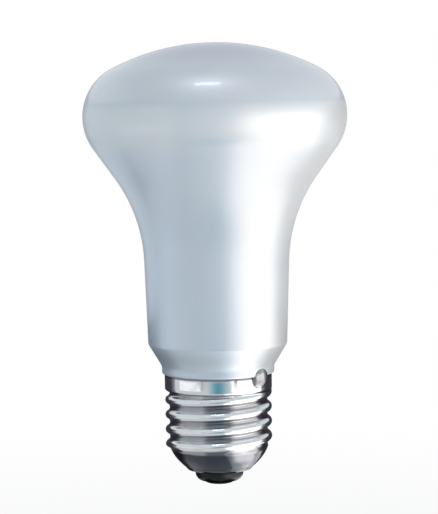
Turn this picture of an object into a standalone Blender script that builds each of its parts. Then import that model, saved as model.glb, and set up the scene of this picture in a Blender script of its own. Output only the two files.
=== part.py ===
"""A mushroom-shaped reflector bulb with a glass envelope and an Edison screw cap.

The bulb stands on its cap with its axis along Z. The origin is the tip of the
solder drop under the cap, and the head is at the top. Lengths are in metres.
"""

import math

import bmesh
import bpy
from mathutils import Matrix, Vector

OVERALL_LENGTH = 0.1079
CLEARANCE = 0.0003

# Glass envelope
HEAD_RADIUS = 0.03215
WIDEST_HEIGHT = 0.0901
HEAD_EDGE_RADIUS = 0.0132
FLARE_ANGLE = math.radians(35.4)
WAIST_RADIUS = 0.0373
NECK_TAPER = math.radians(1.97)
SHOULDER_RADIUS = 0.0170
SHOULDER_ABOVE_RIM = 0.0073
SHOULDER_ROUNDING = 0.0014
BASE_ANGLE = math.radians(31)
BASE_ARC_RADIUS = 0.0025
FOOT_RADIUS = 0.01375
FOOT_ROUNDING = 0.0005
SEALED_END_RADIUS = 0.0107
SEALED_END_ABOVE_EYELET = 0.0027
SEALED_END_ROUNDING = 0.0030

# Screw cap: the standard 27 mm knuckle thread
CAP_HEIGHT = 0.0273
COLLAR_RADIUS = 0.01313
COLLAR_HEIGHT = 0.0036
SHEET_THICKNESS = 0.0003
THREAD_PITCH = 0.003629
THREAD_RADIUS = 0.01308
THREAD_ARC_RADIUS = 0.001025
THREAD_DEPTH = 0.001096
THREAD_START_HEIGHT = 0.0081
THREAD_RUNOUT = 0.0012
SKIRT_TOP_RADIUS = 0.01185
SKIRT_TOP_HEIGHT = 0.0086
SKIRT_EDGE_RADIUS = 0.0088
SKIRT_EDGE_HEIGHT = 0.0046
SKIRT_BULGE = 0.00035

# Black glass insulator in the cap's end
INSULATOR_TOP_HEIGHT = 0.0090
INSULATOR_BOSS_RADIUS = 0.0064
INSULATOR_BOSS_HEIGHT = 0.0031
INSULATOR_ROUNDING = 0.0006
EYELET_HOLE_RADIUS = 0.0018

# Centre contact and its solder
CONTACT_RADIUS = 0.0059
CONTACT_TOP_HEIGHT = 0.0028
CONTACT_FACE_HEIGHT = 0.0007
CONTACT_ROUNDING = 0.0020
EYELET_TOP_HEIGHT = 0.0098
EYELET_BORE_RADIUS = 0.0010
SOLDER_DROP_RADIUS = 0.0034
SOLDER_FLAT_RADIUS = 0.0018
SOLDER_STEM_HEIGHT = 0.0055

# Solder bead that joins the side wire to the collar
BEAD_AZIMUTH = math.radians(-40)
BEAD_WIDTH = 0.0054
BEAD_LENGTH = 0.0050
BEAD_STAND_OUT = 0.0015
BEAD_BELOW_RIM = 0.0002
BEAD_LEAN = math.radians(22)

# Facets
ENVELOPE_SIDES = 56
DOME_STEPS = 6
HEAD_EDGE_STEPS = 12
WAIST_STEPS = 8
SHOULDER_STEPS = 3
BASE_STEPS = 4
FOOT_STEPS = 2
SHELL_SIDES = 36
ROWS_PER_TURN = 7
SKIRT_ROWS = 4
SMALL_SIDES = 24
CORNER_STEPS = 3
CONTACT_STEPS = 4
SOLDER_STEPS = 4
BEAD_SEGMENTS = 20
BEAD_RINGS = 12
MERGE_DISTANCE = 0.00001
SHARP_ANGLE = math.radians(38)


def clear_scene():
    """Remove everything that the new scene starts with."""
    for obj in list(bpy.data.objects):
        bpy.data.objects.remove(obj)


def material(name, colour, roughness, metallic=0.0):
    """A plain finish with its colour, roughness and metallic share."""
    finish = bpy.data.materials.new(name)
    finish.use_nodes = True
    shader = finish.node_tree.nodes["Principled BSDF"]
    shader.inputs["Base Color"].default_value = (*colour, 1.0)
    shader.inputs["Roughness"].default_value = roughness
    shader.inputs["Metallic"].default_value = metallic
    finish.diffuse_color = (*colour, 1.0)
    return finish


def arc(centre, radius, start, end, steps):
    """Points along an arc in the (radius, height) plane, both ends included."""
    points = []
    for step in range(steps + 1):
        angle = start + (end - start) * step / steps
        turned = Vector((math.cos(angle), math.sin(angle)))
        points.append(centre + turned * radius)
    return points


def crossing(point, along, other_point, other_along):
    """Where two straight lines of the outline meet."""
    spread = along.x * other_along.y - along.y * other_along.x
    apart = other_point - point
    share = (apart.x * other_along.y - apart.y * other_along.x) / spread
    return point + along * share


def rounded_corner(before, corner, after, radius, steps):
    """Points of an arc that touches both lines of a corner."""
    to_before = (before - corner).normalized()
    to_after = (after - corner).normalized()
    half_angle = math.acos(to_before.dot(to_after)) / 2
    bisector = (to_before + to_after).normalized()
    centre = corner + bisector * (radius / math.sin(half_angle))
    reach = radius / math.tan(half_angle)
    first = (corner + to_before * reach - centre).normalized()
    last = (corner + to_after * reach - centre).normalized()
    points = []
    for step in range(steps + 1):
        points.append(centre + first.slerp(last, step / steps) * radius)
    return points


def turned_solid(name, outline, sides, finish, is_ring=False):
    """A round solid: the outline, from the top down its outer side, spun about Z.

    A ring's outline stays clear of the axis, so its last point joins its first.
    """
    mesh = bpy.data.meshes.new(name)
    corners = [(point[0], 0.0, point[1]) for point in outline]
    edges = [(index, index + 1) for index in range(len(corners) - 1)]
    if is_ring:
        edges.append((len(corners) - 1, 0))
    mesh.from_pydata(corners, edges, [])
    obj = bpy.data.objects.new(name, mesh)
    bpy.context.scene.collection.objects.link(obj)
    spin = obj.modifiers.new("Spin", "SCREW")
    spin.axis = "Z"
    spin.steps = sides
    spin.render_steps = sides
    spin.use_merge_vertices = True
    spin.merge_threshold = MERGE_DISTANCE
    spin.use_smooth_shade = True
    mesh.materials.append(finish)
    apply_modifiers(obj)
    shade_round(obj)
    return obj


def apply_modifiers(obj):
    """Make the shape that the modifiers show into the object's own mesh."""
    bpy.context.view_layer.update()
    graph = bpy.context.evaluated_depsgraph_get()
    shaped = bpy.data.meshes.new_from_object(obj.evaluated_get(graph))
    shaped.name = obj.name
    obj.modifiers.clear()
    obj.data = shaped


def shade_round(obj):
    """Smooth the curved faces and keep the true corners sharp."""
    obj.data.shade_smooth()
    obj.data.set_sharp_from_angle(angle=SHARP_ANGLE)


def envelope_outline():
    """The glass from the top of the dome, down the flare and neck, to its sealed end."""
    edge_centre = Vector((HEAD_RADIUS - HEAD_EDGE_RADIUS, WIDEST_HEIGHT))
    dome_rise = OVERALL_LENGTH - WIDEST_HEIGHT
    dome_radius = (
        (edge_centre.x**2 + dome_rise**2 - HEAD_EDGE_RADIUS**2)
        / (2 * (dome_rise - HEAD_EDGE_RADIUS))
    )
    dome_centre = Vector((0.0, OVERALL_LENGTH - dome_radius))
    to_edge = edge_centre - dome_centre
    dome_end = math.atan2(to_edge.y, to_edge.x)
    dome = arc(dome_centre, dome_radius, math.pi / 2, dome_end, DOME_STEPS)
    head_edge = arc(edge_centre, HEAD_EDGE_RADIUS, dome_end, -FLARE_ANGLE, HEAD_EDGE_STEPS)

    flare_along = Vector((-math.sin(FLARE_ANGLE), -math.cos(FLARE_ANGLE)))
    neck_along = Vector((math.sin(NECK_TAPER), math.cos(NECK_TAPER)))
    shoulder = Vector((SHOULDER_RADIUS, CAP_HEIGHT + SHOULDER_ABOVE_RIM))
    waist = crossing(head_edge[-1], flare_along, shoulder, neck_along)
    waist_arc = rounded_corner(head_edge[-1], waist, shoulder, WAIST_RADIUS, WAIST_STEPS)

    base_along = Vector((-math.sin(BASE_ANGLE), -math.cos(BASE_ANGLE)))
    foot = Vector((FOOT_RADIUS, CAP_HEIGHT + CLEARANCE))
    base = crossing(shoulder, base_along, foot, Vector((0.0, 1.0)))
    sealed_end = sealed_end_outline()
    return (
        dome
        + head_edge[1:]
        + waist_arc
        + rounded_corner(waist, shoulder, base, SHOULDER_ROUNDING, SHOULDER_STEPS)
        + rounded_corner(shoulder, base, foot, BASE_ARC_RADIUS, BASE_STEPS)
        + rounded_corner(base, foot, sealed_end[0], FOOT_ROUNDING, FOOT_STEPS)
        + sealed_end
    )


def sealed_end_outline():
    """The part of the glass that the cap hides, from under the foot to the axis."""
    top = Vector((SEALED_END_RADIUS, CAP_HEIGHT + CLEARANCE))
    end_height = EYELET_TOP_HEIGHT + SEALED_END_ABOVE_EYELET
    corner = Vector((SEALED_END_RADIUS, end_height))
    bottom = Vector((0.0, end_height))
    end = rounded_corner(top, corner, bottom, SEALED_END_ROUNDING, CORNER_STEPS)
    return [top] + end + [bottom]


def make_envelope(finish):
    """The blown glass, one solid from the dome to the end sealed inside the cap."""
    return turned_solid("glass_envelope", envelope_outline(), ENVELOPE_SIDES, finish)


def knuckle_depth(height):
    """How far the round thread lies below its crest, at a height from a crest's centre."""
    half_pitch = THREAD_PITCH / 2
    from_crest = abs((height + half_pitch) % THREAD_PITCH - half_pitch)
    from_valley = half_pitch - from_crest
    if from_crest < from_valley:
        rise = math.sqrt(THREAD_ARC_RADIUS**2 - from_crest**2)
        return THREAD_ARC_RADIUS - rise
    rise = math.sqrt(THREAD_ARC_RADIUS**2 - from_valley**2)
    return THREAD_DEPTH - THREAD_ARC_RADIUS + rise


def smooth_share(value):
    """0 below 0, 1 above 1, and an even curve between."""
    held = min(max(value, 0.0), 1.0)
    return held * held * (3 - 2 * held)


def thread_radius(height, azimuth):
    """The outer radius of the rolled sheet at a place on the threaded length."""
    turn_rise = THREAD_PITCH * azimuth / (2 * math.pi)
    depth = knuckle_depth(height - THREAD_START_HEIGHT - turn_rise)
    collar_edge = CAP_HEIGHT - COLLAR_HEIGHT
    upper = smooth_share((collar_edge - height) / THREAD_RUNOUT)
    lower = smooth_share((height - SKIRT_TOP_HEIGHT) / THREAD_RUNOUT)
    crest = COLLAR_RADIUS + (THREAD_RADIUS - COLLAR_RADIUS) * upper
    rolled = crest - depth * upper
    return SKIRT_TOP_RADIUS + (rolled - SKIRT_TOP_RADIUS) * lower


def shell_heights():
    """The heights of the sheet's rows, from the rim down to the skirt's edge."""
    collar_edge = CAP_HEIGHT - COLLAR_HEIGHT
    threaded = collar_edge - SKIRT_TOP_HEIGHT
    skirt = SKIRT_TOP_HEIGHT - SKIRT_EDGE_HEIGHT
    rows = round(threaded / THREAD_PITCH * ROWS_PER_TURN)
    heights = [CAP_HEIGHT, (CAP_HEIGHT + collar_edge) / 2]
    for row in range(rows + 1):
        heights.append(collar_edge - threaded * row / rows)
    for row in range(1, SKIRT_ROWS + 1):
        heights.append(SKIRT_TOP_HEIGHT - skirt * row / SKIRT_ROWS)
    return heights


def shell_radius(height, azimuth):
    """The sheet's outer radius anywhere on the collar, the thread or the skirt."""
    if height > CAP_HEIGHT - COLLAR_HEIGHT:
        return COLLAR_RADIUS
    if height >= SKIRT_TOP_HEIGHT:
        return thread_radius(height, azimuth)
    share = (height - SKIRT_EDGE_HEIGHT) / (SKIRT_TOP_HEIGHT - SKIRT_EDGE_HEIGHT)
    bulge = SKIRT_BULGE * math.sin(math.pi * share)
    return SKIRT_EDGE_RADIUS + (SKIRT_TOP_RADIUS - SKIRT_EDGE_RADIUS) * share + bulge


def make_screw_shell(finish):
    """The rolled sheet: collar, right-hand round thread, and skirt drawn in below."""
    sheet = bmesh.new()
    line = [sheet.verts.new((COLLAR_RADIUS, 0.0, height)) for height in shell_heights()]
    links = [sheet.edges.new(pair) for pair in zip(line, line[1:])]
    bmesh.ops.spin(
        sheet,
        geom=line + links,
        axis=(0.0, 0.0, 1.0),
        cent=(0.0, 0.0, 0.0),
        angle=2 * math.pi,
        steps=SHELL_SIDES,
        use_merge=True,
    )
    for vertex in sheet.verts:
        azimuth = math.atan2(vertex.co.y, vertex.co.x) % (2 * math.pi)
        radius = shell_radius(vertex.co.z, azimuth)
        vertex.co.x = radius * math.cos(azimuth)
        vertex.co.y = radius * math.sin(azimuth)
    bmesh.ops.recalc_face_normals(sheet, faces=sheet.faces)
    mesh = bpy.data.meshes.new("screw_shell")
    sheet.to_mesh(mesh)
    sheet.free()
    mesh.materials.append(finish)

    obj = bpy.data.objects.new("screw_shell", mesh)
    bpy.context.scene.collection.objects.link(obj)
    wall = obj.modifiers.new("Wall", "SOLIDIFY")
    wall.thickness = SHEET_THICKNESS
    wall.offset = -1.0
    wall.use_even_offset = True
    apply_modifiers(obj)
    shade_round(obj)
    return obj


def make_cement(finish):
    """The ring of cement between the glass and the collar."""
    outer = COLLAR_RADIUS - SHEET_THICKNESS - CLEARANCE
    inner = SEALED_END_RADIUS + CLEARANCE
    top = CAP_HEIGHT - 3 * CLEARANCE
    bottom = CAP_HEIGHT - COLLAR_HEIGHT
    outline = [(inner, top), (outer, top), (outer, bottom), (inner, bottom)]
    return turned_solid("cap_cement", outline, SHELL_SIDES, finish, is_ring=True)


def make_insulator(finish):
    """The black glass button: it fills the skirt and bosses out below its edge."""
    wall = SHEET_THICKNESS + CLEARANCE
    fall = Vector((SKIRT_EDGE_RADIUS - SKIRT_TOP_RADIUS, SKIRT_EDGE_HEIGHT - SKIRT_TOP_HEIGHT))
    inward = Vector((fall.y, -fall.x)).normalized() * wall
    skirt_top = Vector((SKIRT_TOP_RADIUS, SKIRT_TOP_HEIGHT)) + inward
    skirt_edge = Vector((SKIRT_EDGE_RADIUS, SKIRT_EDGE_HEIGHT)) + inward
    boss = Vector((INSULATOR_BOSS_RADIUS, INSULATOR_BOSS_HEIGHT))
    bottom = Vector((EYELET_HOLE_RADIUS, INSULATOR_BOSS_HEIGHT))
    lip = skirt_edge + Vector((0.0, -2 * CLEARANCE))
    outline = (
        [Vector((EYELET_HOLE_RADIUS, INSULATOR_TOP_HEIGHT))]
        + [Vector((skirt_top.x - CLEARANCE, INSULATOR_TOP_HEIGHT))]
        + [skirt_top, skirt_edge, lip]
        + rounded_corner(lip, boss, bottom, INSULATOR_ROUNDING, CORNER_STEPS)
        + [bottom]
    )
    return turned_solid("cap_insulator", outline, SMALL_SIDES, finish, is_ring=True)


def make_contact(finish):
    """The centre contact: a shallow cup with a hollow eyelet up through the insulator."""
    eyelet = EYELET_HOLE_RADIUS - CLEARANCE
    top = Vector((CONTACT_RADIUS, CONTACT_TOP_HEIGHT))
    corner = Vector((CONTACT_RADIUS, CONTACT_FACE_HEIGHT))
    face = Vector((EYELET_BORE_RADIUS, CONTACT_FACE_HEIGHT))
    outline = (
        [Vector((EYELET_BORE_RADIUS, EYELET_TOP_HEIGHT))]
        + [Vector((eyelet, EYELET_TOP_HEIGHT)), Vector((eyelet, CONTACT_TOP_HEIGHT))]
        + [top]
        + rounded_corner(top, corner, face, CONTACT_ROUNDING, CONTACT_STEPS)
        + [face]
    )
    return turned_solid("centre_contact", outline, SMALL_SIDES, finish, is_ring=True)


def make_contact_solder(finish):
    """The drop under the contact, its flat tip at the origin and its stem in the eyelet."""
    stem = EYELET_BORE_RADIUS - CLEARANCE
    top = CONTACT_FACE_HEIGHT - CLEARANCE
    run = SOLDER_DROP_RADIUS - SOLDER_FLAT_RADIUS
    outline = [(0.0, SOLDER_STEM_HEIGHT), (stem, SOLDER_STEM_HEIGHT), (stem, top)]
    for step in range(SOLDER_STEPS + 1):
        angle = math.pi / 2 * step / SOLDER_STEPS
        radius = SOLDER_FLAT_RADIUS + run * math.cos(angle)
        outline.append((radius, top - top * math.sin(angle)))
    outline.append((0.0, 0.0))
    return turned_solid("contact_solder", outline, SMALL_SIDES, finish)


def make_bead_cutter():
    """The cap and the glass foot, fattened by the clearance, as a cutter for the bead."""
    collar = COLLAR_RADIUS + CLEARANCE
    foot = FOOT_RADIUS + CLEARANCE
    outline = [
        (0.0, CAP_HEIGHT + SHOULDER_ABOVE_RIM),
        (foot, CAP_HEIGHT + SHOULDER_ABOVE_RIM),
        (foot, CAP_HEIGHT + CLEARANCE),
        (collar, CAP_HEIGHT - CLEARANCE),
        (collar, SKIRT_TOP_HEIGHT),
        (0.0, SKIRT_TOP_HEIGHT),
    ]
    cutter = turned_solid("bead_cutter", outline, SHELL_SIDES * 2, None)
    cutter.hide_render = True
    cutter.display_type = "WIRE"
    return cutter


def make_side_solder(finish):
    """The bead of solder on the collar's rim, over the end of the side wire."""
    ball = bmesh.new()
    bmesh.ops.create_uvsphere(
        ball, u_segments=BEAD_SEGMENTS, v_segments=BEAD_RINGS, radius=0.5
    )
    depth = 2 * (BEAD_STAND_OUT + CLEARANCE) + BEAD_WIDTH**2 / (4 * COLLAR_RADIUS)
    scale = Matrix.Diagonal((depth, BEAD_WIDTH, BEAD_LENGTH, 1.0))
    place = Matrix.Translation((COLLAR_RADIUS, 0.0, CAP_HEIGHT - BEAD_BELOW_RIM))
    turn = Matrix.Rotation(BEAD_AZIMUTH, 4, "Z")
    lean = Matrix.Rotation(-BEAD_LEAN, 4, "X")
    bmesh.ops.transform(ball, matrix=turn @ place @ lean @ scale, verts=ball.verts)
    mesh = bpy.data.meshes.new("side_solder")
    ball.to_mesh(mesh)
    ball.free()
    mesh.materials.append(finish)
    obj = bpy.data.objects.new("side_solder", mesh)
    bpy.context.scene.collection.objects.link(obj)
    cut = obj.modifiers.new("Cut", "BOOLEAN")
    cut.operation = "DIFFERENCE"
    cut.solver = "EXACT"
    cut.object = make_bead_cutter()
    apply_modifiers(obj)
    shade_round(obj)
    return obj


def main():
    """Build the glass, then the cap from its rim down to the solder tip."""
    clear_scene()
    frosted_glass = material("frosted_glass", (0.70, 0.74, 0.78), 0.32)
    nickel_plate = material("nickel_plate", (0.66, 0.67, 0.69), 0.16, 1.0)
    black_glass = material("black_glass", (0.012, 0.012, 0.014), 0.12)
    contact_metal = material("contact_metal", (0.16, 0.16, 0.17), 0.30, 1.0)
    solder = material("solder", (0.55, 0.56, 0.58), 0.30, 1.0)
    cement = material("cement", (0.62, 0.57, 0.48), 0.90)
    make_envelope(frosted_glass)
    make_cement(cement)
    make_screw_shell(nickel_plate)
    make_side_solder(solder)
    make_insulator(black_glass)
    make_contact(contact_metal)
    make_contact_solder(solder)


main()
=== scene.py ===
"""A mushroom-shaped reflector bulb on a screw cap, dressed for a studio picture.

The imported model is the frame. Each class below makes one sub-assembly of the bulb
in its node's place, and each finish class makes one procedural material. Lengths are
in metres. The bulb's angles are in radians, and the studio's are in degrees.
"""

from __future__ import annotations

import logging
import math
from collections.abc import Iterable
from dataclasses import dataclass, field
from enum import Enum
from functools import cached_property
from typing import Any

import bmesh
import bpy
from mathutils import Euler, Matrix, Vector


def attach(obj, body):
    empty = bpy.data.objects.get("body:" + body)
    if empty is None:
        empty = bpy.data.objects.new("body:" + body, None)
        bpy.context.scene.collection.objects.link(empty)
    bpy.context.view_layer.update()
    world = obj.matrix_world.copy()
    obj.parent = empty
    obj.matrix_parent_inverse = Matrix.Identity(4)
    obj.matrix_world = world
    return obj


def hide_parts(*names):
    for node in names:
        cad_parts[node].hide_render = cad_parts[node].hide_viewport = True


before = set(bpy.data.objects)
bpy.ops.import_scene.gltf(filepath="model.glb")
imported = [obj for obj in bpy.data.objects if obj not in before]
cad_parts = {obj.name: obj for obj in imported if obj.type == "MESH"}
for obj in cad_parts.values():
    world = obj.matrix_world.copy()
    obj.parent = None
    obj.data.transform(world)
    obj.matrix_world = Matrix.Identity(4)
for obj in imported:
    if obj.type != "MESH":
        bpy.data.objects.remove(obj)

LOG = logging.getLogger("bulb")
BODY = "root"

Colour = tuple[float, float, float, float]
LampColour = tuple[float, float, float]
Span = tuple[float, float]
Piece = bpy.types.Object


def tint(red: float, green: float, blue: float) -> Colour:
    """A plain opaque colour in linear light."""
    return (red, green, blue, 1.0)


class Slot(Enum):
    """The record's material slots, which the new pieces here don't use."""

    FROSTED_GLASS = "frosted_glass"
    NICKEL_PLATE = "nickel_plate"
    BLACK_GLASS = "black_glass"
    CONTACT_METAL = "contact_metal"
    SOLDER = "solder"


class Texture(Enum):
    """The pattern nodes that the finishes use."""

    NOISE = "ShaderNodeTexNoise"
    VORONOI = "ShaderNodeTexVoronoi"


class Seen(Enum):
    """Which surfaces a lamp lights: all of them, matt ones or shiny ones."""

    BY_ALL = "all"
    BY_MATT = "matt"
    BY_SHINY = "shiny"


class Value:
    """A number socket of a node tree that takes part in ordinary arithmetic."""

    def __init__(self, nodes: Nodes, socket: Any) -> None:
        """Wrap one output socket of the tree."""
        self.nodes = nodes
        self.socket = socket

    def _maths(self, operation: str, *values: Any) -> Value:
        """Add one Math node.

        Args:
            operation: what the node works out.
            values: its numbers, in the order of its sockets.

        Returns:
            The node's result.
        """
        inputs = dict(enumerate(values))
        made = self.nodes.node("ShaderNodeMath", {"operation": operation}, inputs)
        return Value(self.nodes, made.outputs[0])

    def __add__(self, other: Value | float) -> Value:
        """self + other."""
        return self._maths("ADD", self, other)

    def __radd__(self, other: float) -> Value:
        """other + self."""
        return self._maths("ADD", other, self)

    def __sub__(self, other: Value | float) -> Value:
        """self - other."""
        return self._maths("SUBTRACT", self, other)

    def __rsub__(self, other: float) -> Value:
        """other - self."""
        return self._maths("SUBTRACT", other, self)

    def __mul__(self, other: Value | float) -> Value:
        """self * other."""
        return self._maths("MULTIPLY", self, other)

    def __rmul__(self, other: float) -> Value:
        """other * self."""
        return self._maths("MULTIPLY", other, self)

    def __pow__(self, other: float) -> Value:
        """self raised to a power."""
        return self._maths("POWER", self, other)

    def __abs__(self) -> Value:
        """How far the value is from 0."""
        return self._maths("ABSOLUTE", self)

    def sine(self) -> Value:
        """The sine of the value, in radians."""
        return self._maths("SINE", self)

    def length_with(self, other: Value) -> Value:
        """The long side of the right triangle on both values."""
        return (self * self + other * other) ** 0.5

    def held(self, low: float, high: float) -> Value:
        """Stretch the value smoothly between two ends, and hold it there.

        Args:
            low: where the result is 0, as it is below.
            high: where the result is 1, as it is above.

        Returns:
            A value from 0 to 1.
        """
        settings = {"clamp": True, "interpolation_type": "SMOOTHSTEP"}
        inputs = {"Value": self, "From Min": low, "From Max": high}
        made = self.nodes.node("ShaderNodeMapRange", settings, inputs)
        return Value(self.nodes, made.outputs["Result"])

    def band(self, centre: float, half_width: float) -> Value:
        """1 at the centre, falling smoothly to 0 half a width away on both sides."""
        return 1 - abs(self - centre).held(0.0, half_width)


class Nodes:
    """One node tree, and the one method that adds a node to it."""

    def __init__(self, tree: bpy.types.NodeTree) -> None:
        """Take the tree that the nodes go into."""
        self.tree = tree

    def node(
        self,
        kind: str,
        settings: dict[str, Any] | None = None,
        inputs: dict[Any, Any] | None = None,
    ) -> Any:
        """Add a node.

        Args:
            kind: the node's type.
            settings: its own properties, set before its sockets.
            inputs: socket name or number to a value, a Value or a socket.

        Returns:
            The new node.
        """
        made = self.tree.nodes.new(kind)
        for name, setting in (settings or {}).items():
            setattr(made, name, setting)
        self.feed(made, inputs or {})
        return made

    def feed(self, node: Any, inputs: dict[Any, Any]) -> None:
        """Set or link the sockets of a node.

        Args:
            node: the node that is fed.
            inputs: socket name or number to a value, a Value or a socket.
        """
        for name, given in inputs.items():
            if isinstance(given, Value):
                self.tree.links.new(given.socket, node.inputs[name])
            elif isinstance(given, bpy.types.NodeSocket):
                self.tree.links.new(given, node.inputs[name])
            else:
                node.inputs[name].default_value = given


class Recipe(Nodes):
    """The node tree of one material, with its Principled shader."""

    def __init__(self, name: str) -> None:
        """Start a material with its shader alone.

        Args:
            name: the material's name.
        """
        self.material = bpy.data.materials.new(name)
        self.material.use_nodes = True
        super().__init__(self.material.node_tree)
        self.shader = self.tree.nodes["Principled BSDF"]

    def shade(self, **inputs: Any) -> None:
        """Set or link the shader's sockets, with spaces written as underscores."""
        named = {name.replace("_", " "): given for name, given in inputs.items()}
        self.feed(self.shader, named)

    @cached_property
    def place(self) -> Any:
        """The socket of the object's own coordinates, in metres."""
        return self.node("ShaderNodeTexCoord").outputs["Object"]

    @cached_property
    def axes(self) -> tuple[Value, Value, Value]:
        """The three object coordinates as values.

        Returns:
            Right, back and up from the bulb's tip.
        """
        split = self.node("ShaderNodeSeparateXYZ", inputs={"Vector": self.place})
        x, y, z = (Value(self, split.outputs[name]) for name in "XYZ")
        return x, y, z

    def stretched(self, x: float, y: float, z: float) -> Any:
        """Multiply the object coordinates along each axis.

        Args:
            x: the factor to the right.
            y: the factor to the back.
            z: the factor upwards.

        Returns:
            The socket of the new coordinates.
        """
        settings = {"operation": "MULTIPLY"}
        inputs = {0: self.place, 1: (x, y, z)}
        return self.node("ShaderNodeVectorMath", settings, inputs).outputs[0]

    def pattern(
        self, texture: Texture, scale: float, where: Any = None, **inputs: float
    ) -> Value:
        """Add a pattern.

        Args:
            texture: the kind of pattern.
            scale: how many of its features fit in a metre.
            where: the coordinates, or the object's own if left out.
            inputs: the node's other number sockets by name.

        Returns:
            The pattern's value, from 0 to 1.
        """
        sockets: dict[Any, Any] = {"Vector": where or self.place, "Scale": scale}
        sockets.update({name.capitalize(): given for name, given in inputs.items()})
        made = self.node(texture.value, inputs=sockets)
        return Value(self, made.outputs[0])

    def blend(self, share: Value, first: Any, second: Any) -> Any:
        """Mix two colours.

        Args:
            share: how much of the second shows, from 0 to 1.
            first: a colour or its socket.
            second: a colour or its socket.

        Returns:
            The socket of the mixed colour.
        """
        settings = {"data_type": "RGBA", "clamp_factor": True}
        inputs = {0: share, 6: first, 7: second}
        return self.node("ShaderNodeMix", settings, inputs).outputs[2]

    def bump(
        self, height: Value, depth: float, strength: float, under: Any = None
    ) -> Any:
        """Raise a normal from a height pattern.

        Args:
            height: the pattern, from 0 to 1.
            depth: its full height in metres.
            strength: how much of it shows.
            under: the normal of a coarser pattern below it.

        Returns:
            The normal's socket.
        """
        inputs: dict[Any, Any] = {
            "Height": height,
            "Distance": depth,
            "Strength": strength,
        }
        if under is not None:
            inputs["Normal"] = under
        return self.node("ShaderNodeBump", inputs=inputs).outputs["Normal"]


@dataclass(frozen=True)
class EnvelopeFinish:
    """White satin glass below the seam and frosted glass over the dome.

    Its colour carries painted shade and painted light; each span is where one begins and
    where it is full.
    """

    body: Colour = tint(0.64, 0.675, 0.705)
    body_cool: Colour = tint(0.62, 0.67, 0.72)
    painted_left_shade: Colour = tint(0.600, 0.700, 0.830)
    painted_front_shade: Colour = tint(0.525, 0.605, 0.695)
    painted_foot_shade: Colour = tint(0.42, 0.49, 0.56)
    brow_painted_light: Colour = tint(0.80, 0.83, 0.86)
    dome: Colour = tint(0.60, 0.645, 0.69)
    dome_cool: Colour = tint(0.585, 0.625, 0.70)
    crown: Colour = tint(0.36, 0.38, 0.50)
    seam_shade: Colour = tint(0.50, 0.56, 0.61)
    seam_height: float = 0.0937
    seam_width: float = 0.0005
    brow_drop: float = 0.0050
    brow_width: float = 0.0085
    crown_span: Span = (0.1015, 0.1078)
    dome_edge_span: Span = (-0.027, -0.016)
    left_span: Span = (-0.0120, -0.0045)
    head_span: Span = (0.076, 0.092)
    front_left_span: Span = (-0.0130, -0.0065)
    front_right_span: Span = (0.0, 0.0085)
    front_span: Span = (0.0, 0.006)
    foot_height: float = 0.0318
    foot_width: float = 0.0036
    foot_right_span: Span = (0.001, 0.013)

    def body_colour(self, recipe: Recipe, mottle: Value) -> Any:
        """Tint the coated body with painted shade: bluer on its left and darker at its
        front.

        Args:
            recipe: the glass's material.
            mottle: the pattern between its two even tints.

        Returns:
            The colour's socket.
        """
        x, y, height = recipe.axes
        colour = recipe.blend(mottle, self.body, self.body_cool)
        # Painted shade: the left side is tinted bluer, less so on the head.
        left = 1 - x.held(*self.left_span)
        below_head = 1 - height.held(*self.head_span) * 0.7
        colour = recipe.blend(left * below_head * 0.7, colour, self.painted_left_shade)
        # Painted shade: a darker strip down the middle of the front.
        middle = x.held(*self.front_left_span) * (1 - x.held(*self.front_right_span))
        front = (0 - y).held(*self.front_span)
        return recipe.blend(middle * front * 0.85, colour, self.painted_front_shade)

    def dome_colour(self, recipe: Recipe, mottle: Value) -> Any:
        """Tint the frosted dome, with painted shade over its crown and painted light at
        its left edge.

        Args:
            recipe: the glass's material.
            mottle: the pattern between its two even tints.

        Returns:
            The colour's socket.
        """
        x, _, height = recipe.axes
        colour = recipe.blend(mottle, self.dome, self.dome_cool)
        # Painted shade: the dome darkens towards its crown.
        colour = recipe.blend(height.held(*self.crown_span) * 0.8, colour, self.crown)
        # Painted light: the dome's left edge is paler.
        edge = 1 - x.held(*self.dome_edge_span)
        return recipe.blend(edge * 0.40, colour, self.brow_painted_light)

    def material(self) -> bpy.types.Material:
        """Build the glass: coating, frost grain, blown waviness, the seam line, and
        painted shade and light.

        Returns:
            The material.
        """
        recipe = Recipe("frosted_white_glass")
        x, _, height = recipe.axes
        seam_foot = self.seam_height - self.seam_width
        above = height.held(seam_foot, self.seam_height + self.seam_width)
        cloud = recipe.pattern(Texture.NOISE, 38.0, detail=3.0, roughness=0.55)
        blotch = recipe.pattern(Texture.NOISE, 160.0, detail=2.0)
        frost = recipe.pattern(Texture.NOISE, 2600.0, detail=2.0)
        drawn = recipe.stretched(1.0, 1.0, 0.45)
        waviness = recipe.pattern(Texture.NOISE, 24.0, drawn, detail=1.0)
        mottle = (cloud * 0.7 + blotch * 0.3).held(0.38, 0.62)
        body = self.body_colour(recipe, mottle)
        colour = recipe.blend(above, body, self.dome_colour(recipe, mottle))
        # Painted light: a paler band on the body just below the seam.
        brow_painted_light = height.band(self.seam_height - self.brow_drop, self.brow_width)
        colour = recipe.blend(brow_painted_light * (1 - above) * 0.40, colour, self.brow_painted_light)
        seam = height.band(self.seam_height, 3 * self.seam_width)
        colour = recipe.blend(seam * 0.22, colour, self.seam_shade)
        # Painted shade: the base cone above the foot is darker, less so on its right.
        foot = height.band(self.foot_height, self.foot_width)
        foot = foot * (1 - x.held(*self.foot_right_span) * 0.7)
        colour = recipe.blend(foot * 0.75, colour, self.painted_foot_shade)
        relief = recipe.bump(waviness, 0.0006, 0.10)
        relief = recipe.bump(frost, 0.00002, 0.35, relief)
        recipe.shade(
            Base_Color=colour,
            Roughness=0.34 + above * 0.08 + frost * 0.05,
            Metallic=0.45 + above * 0.10,
            Normal=relief,
            Coat_Weight=above * 0.45 + 0.10,
            Coat_Roughness=0.05,
            Coat_IOR=1.48,
        )
        return recipe.material


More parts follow.
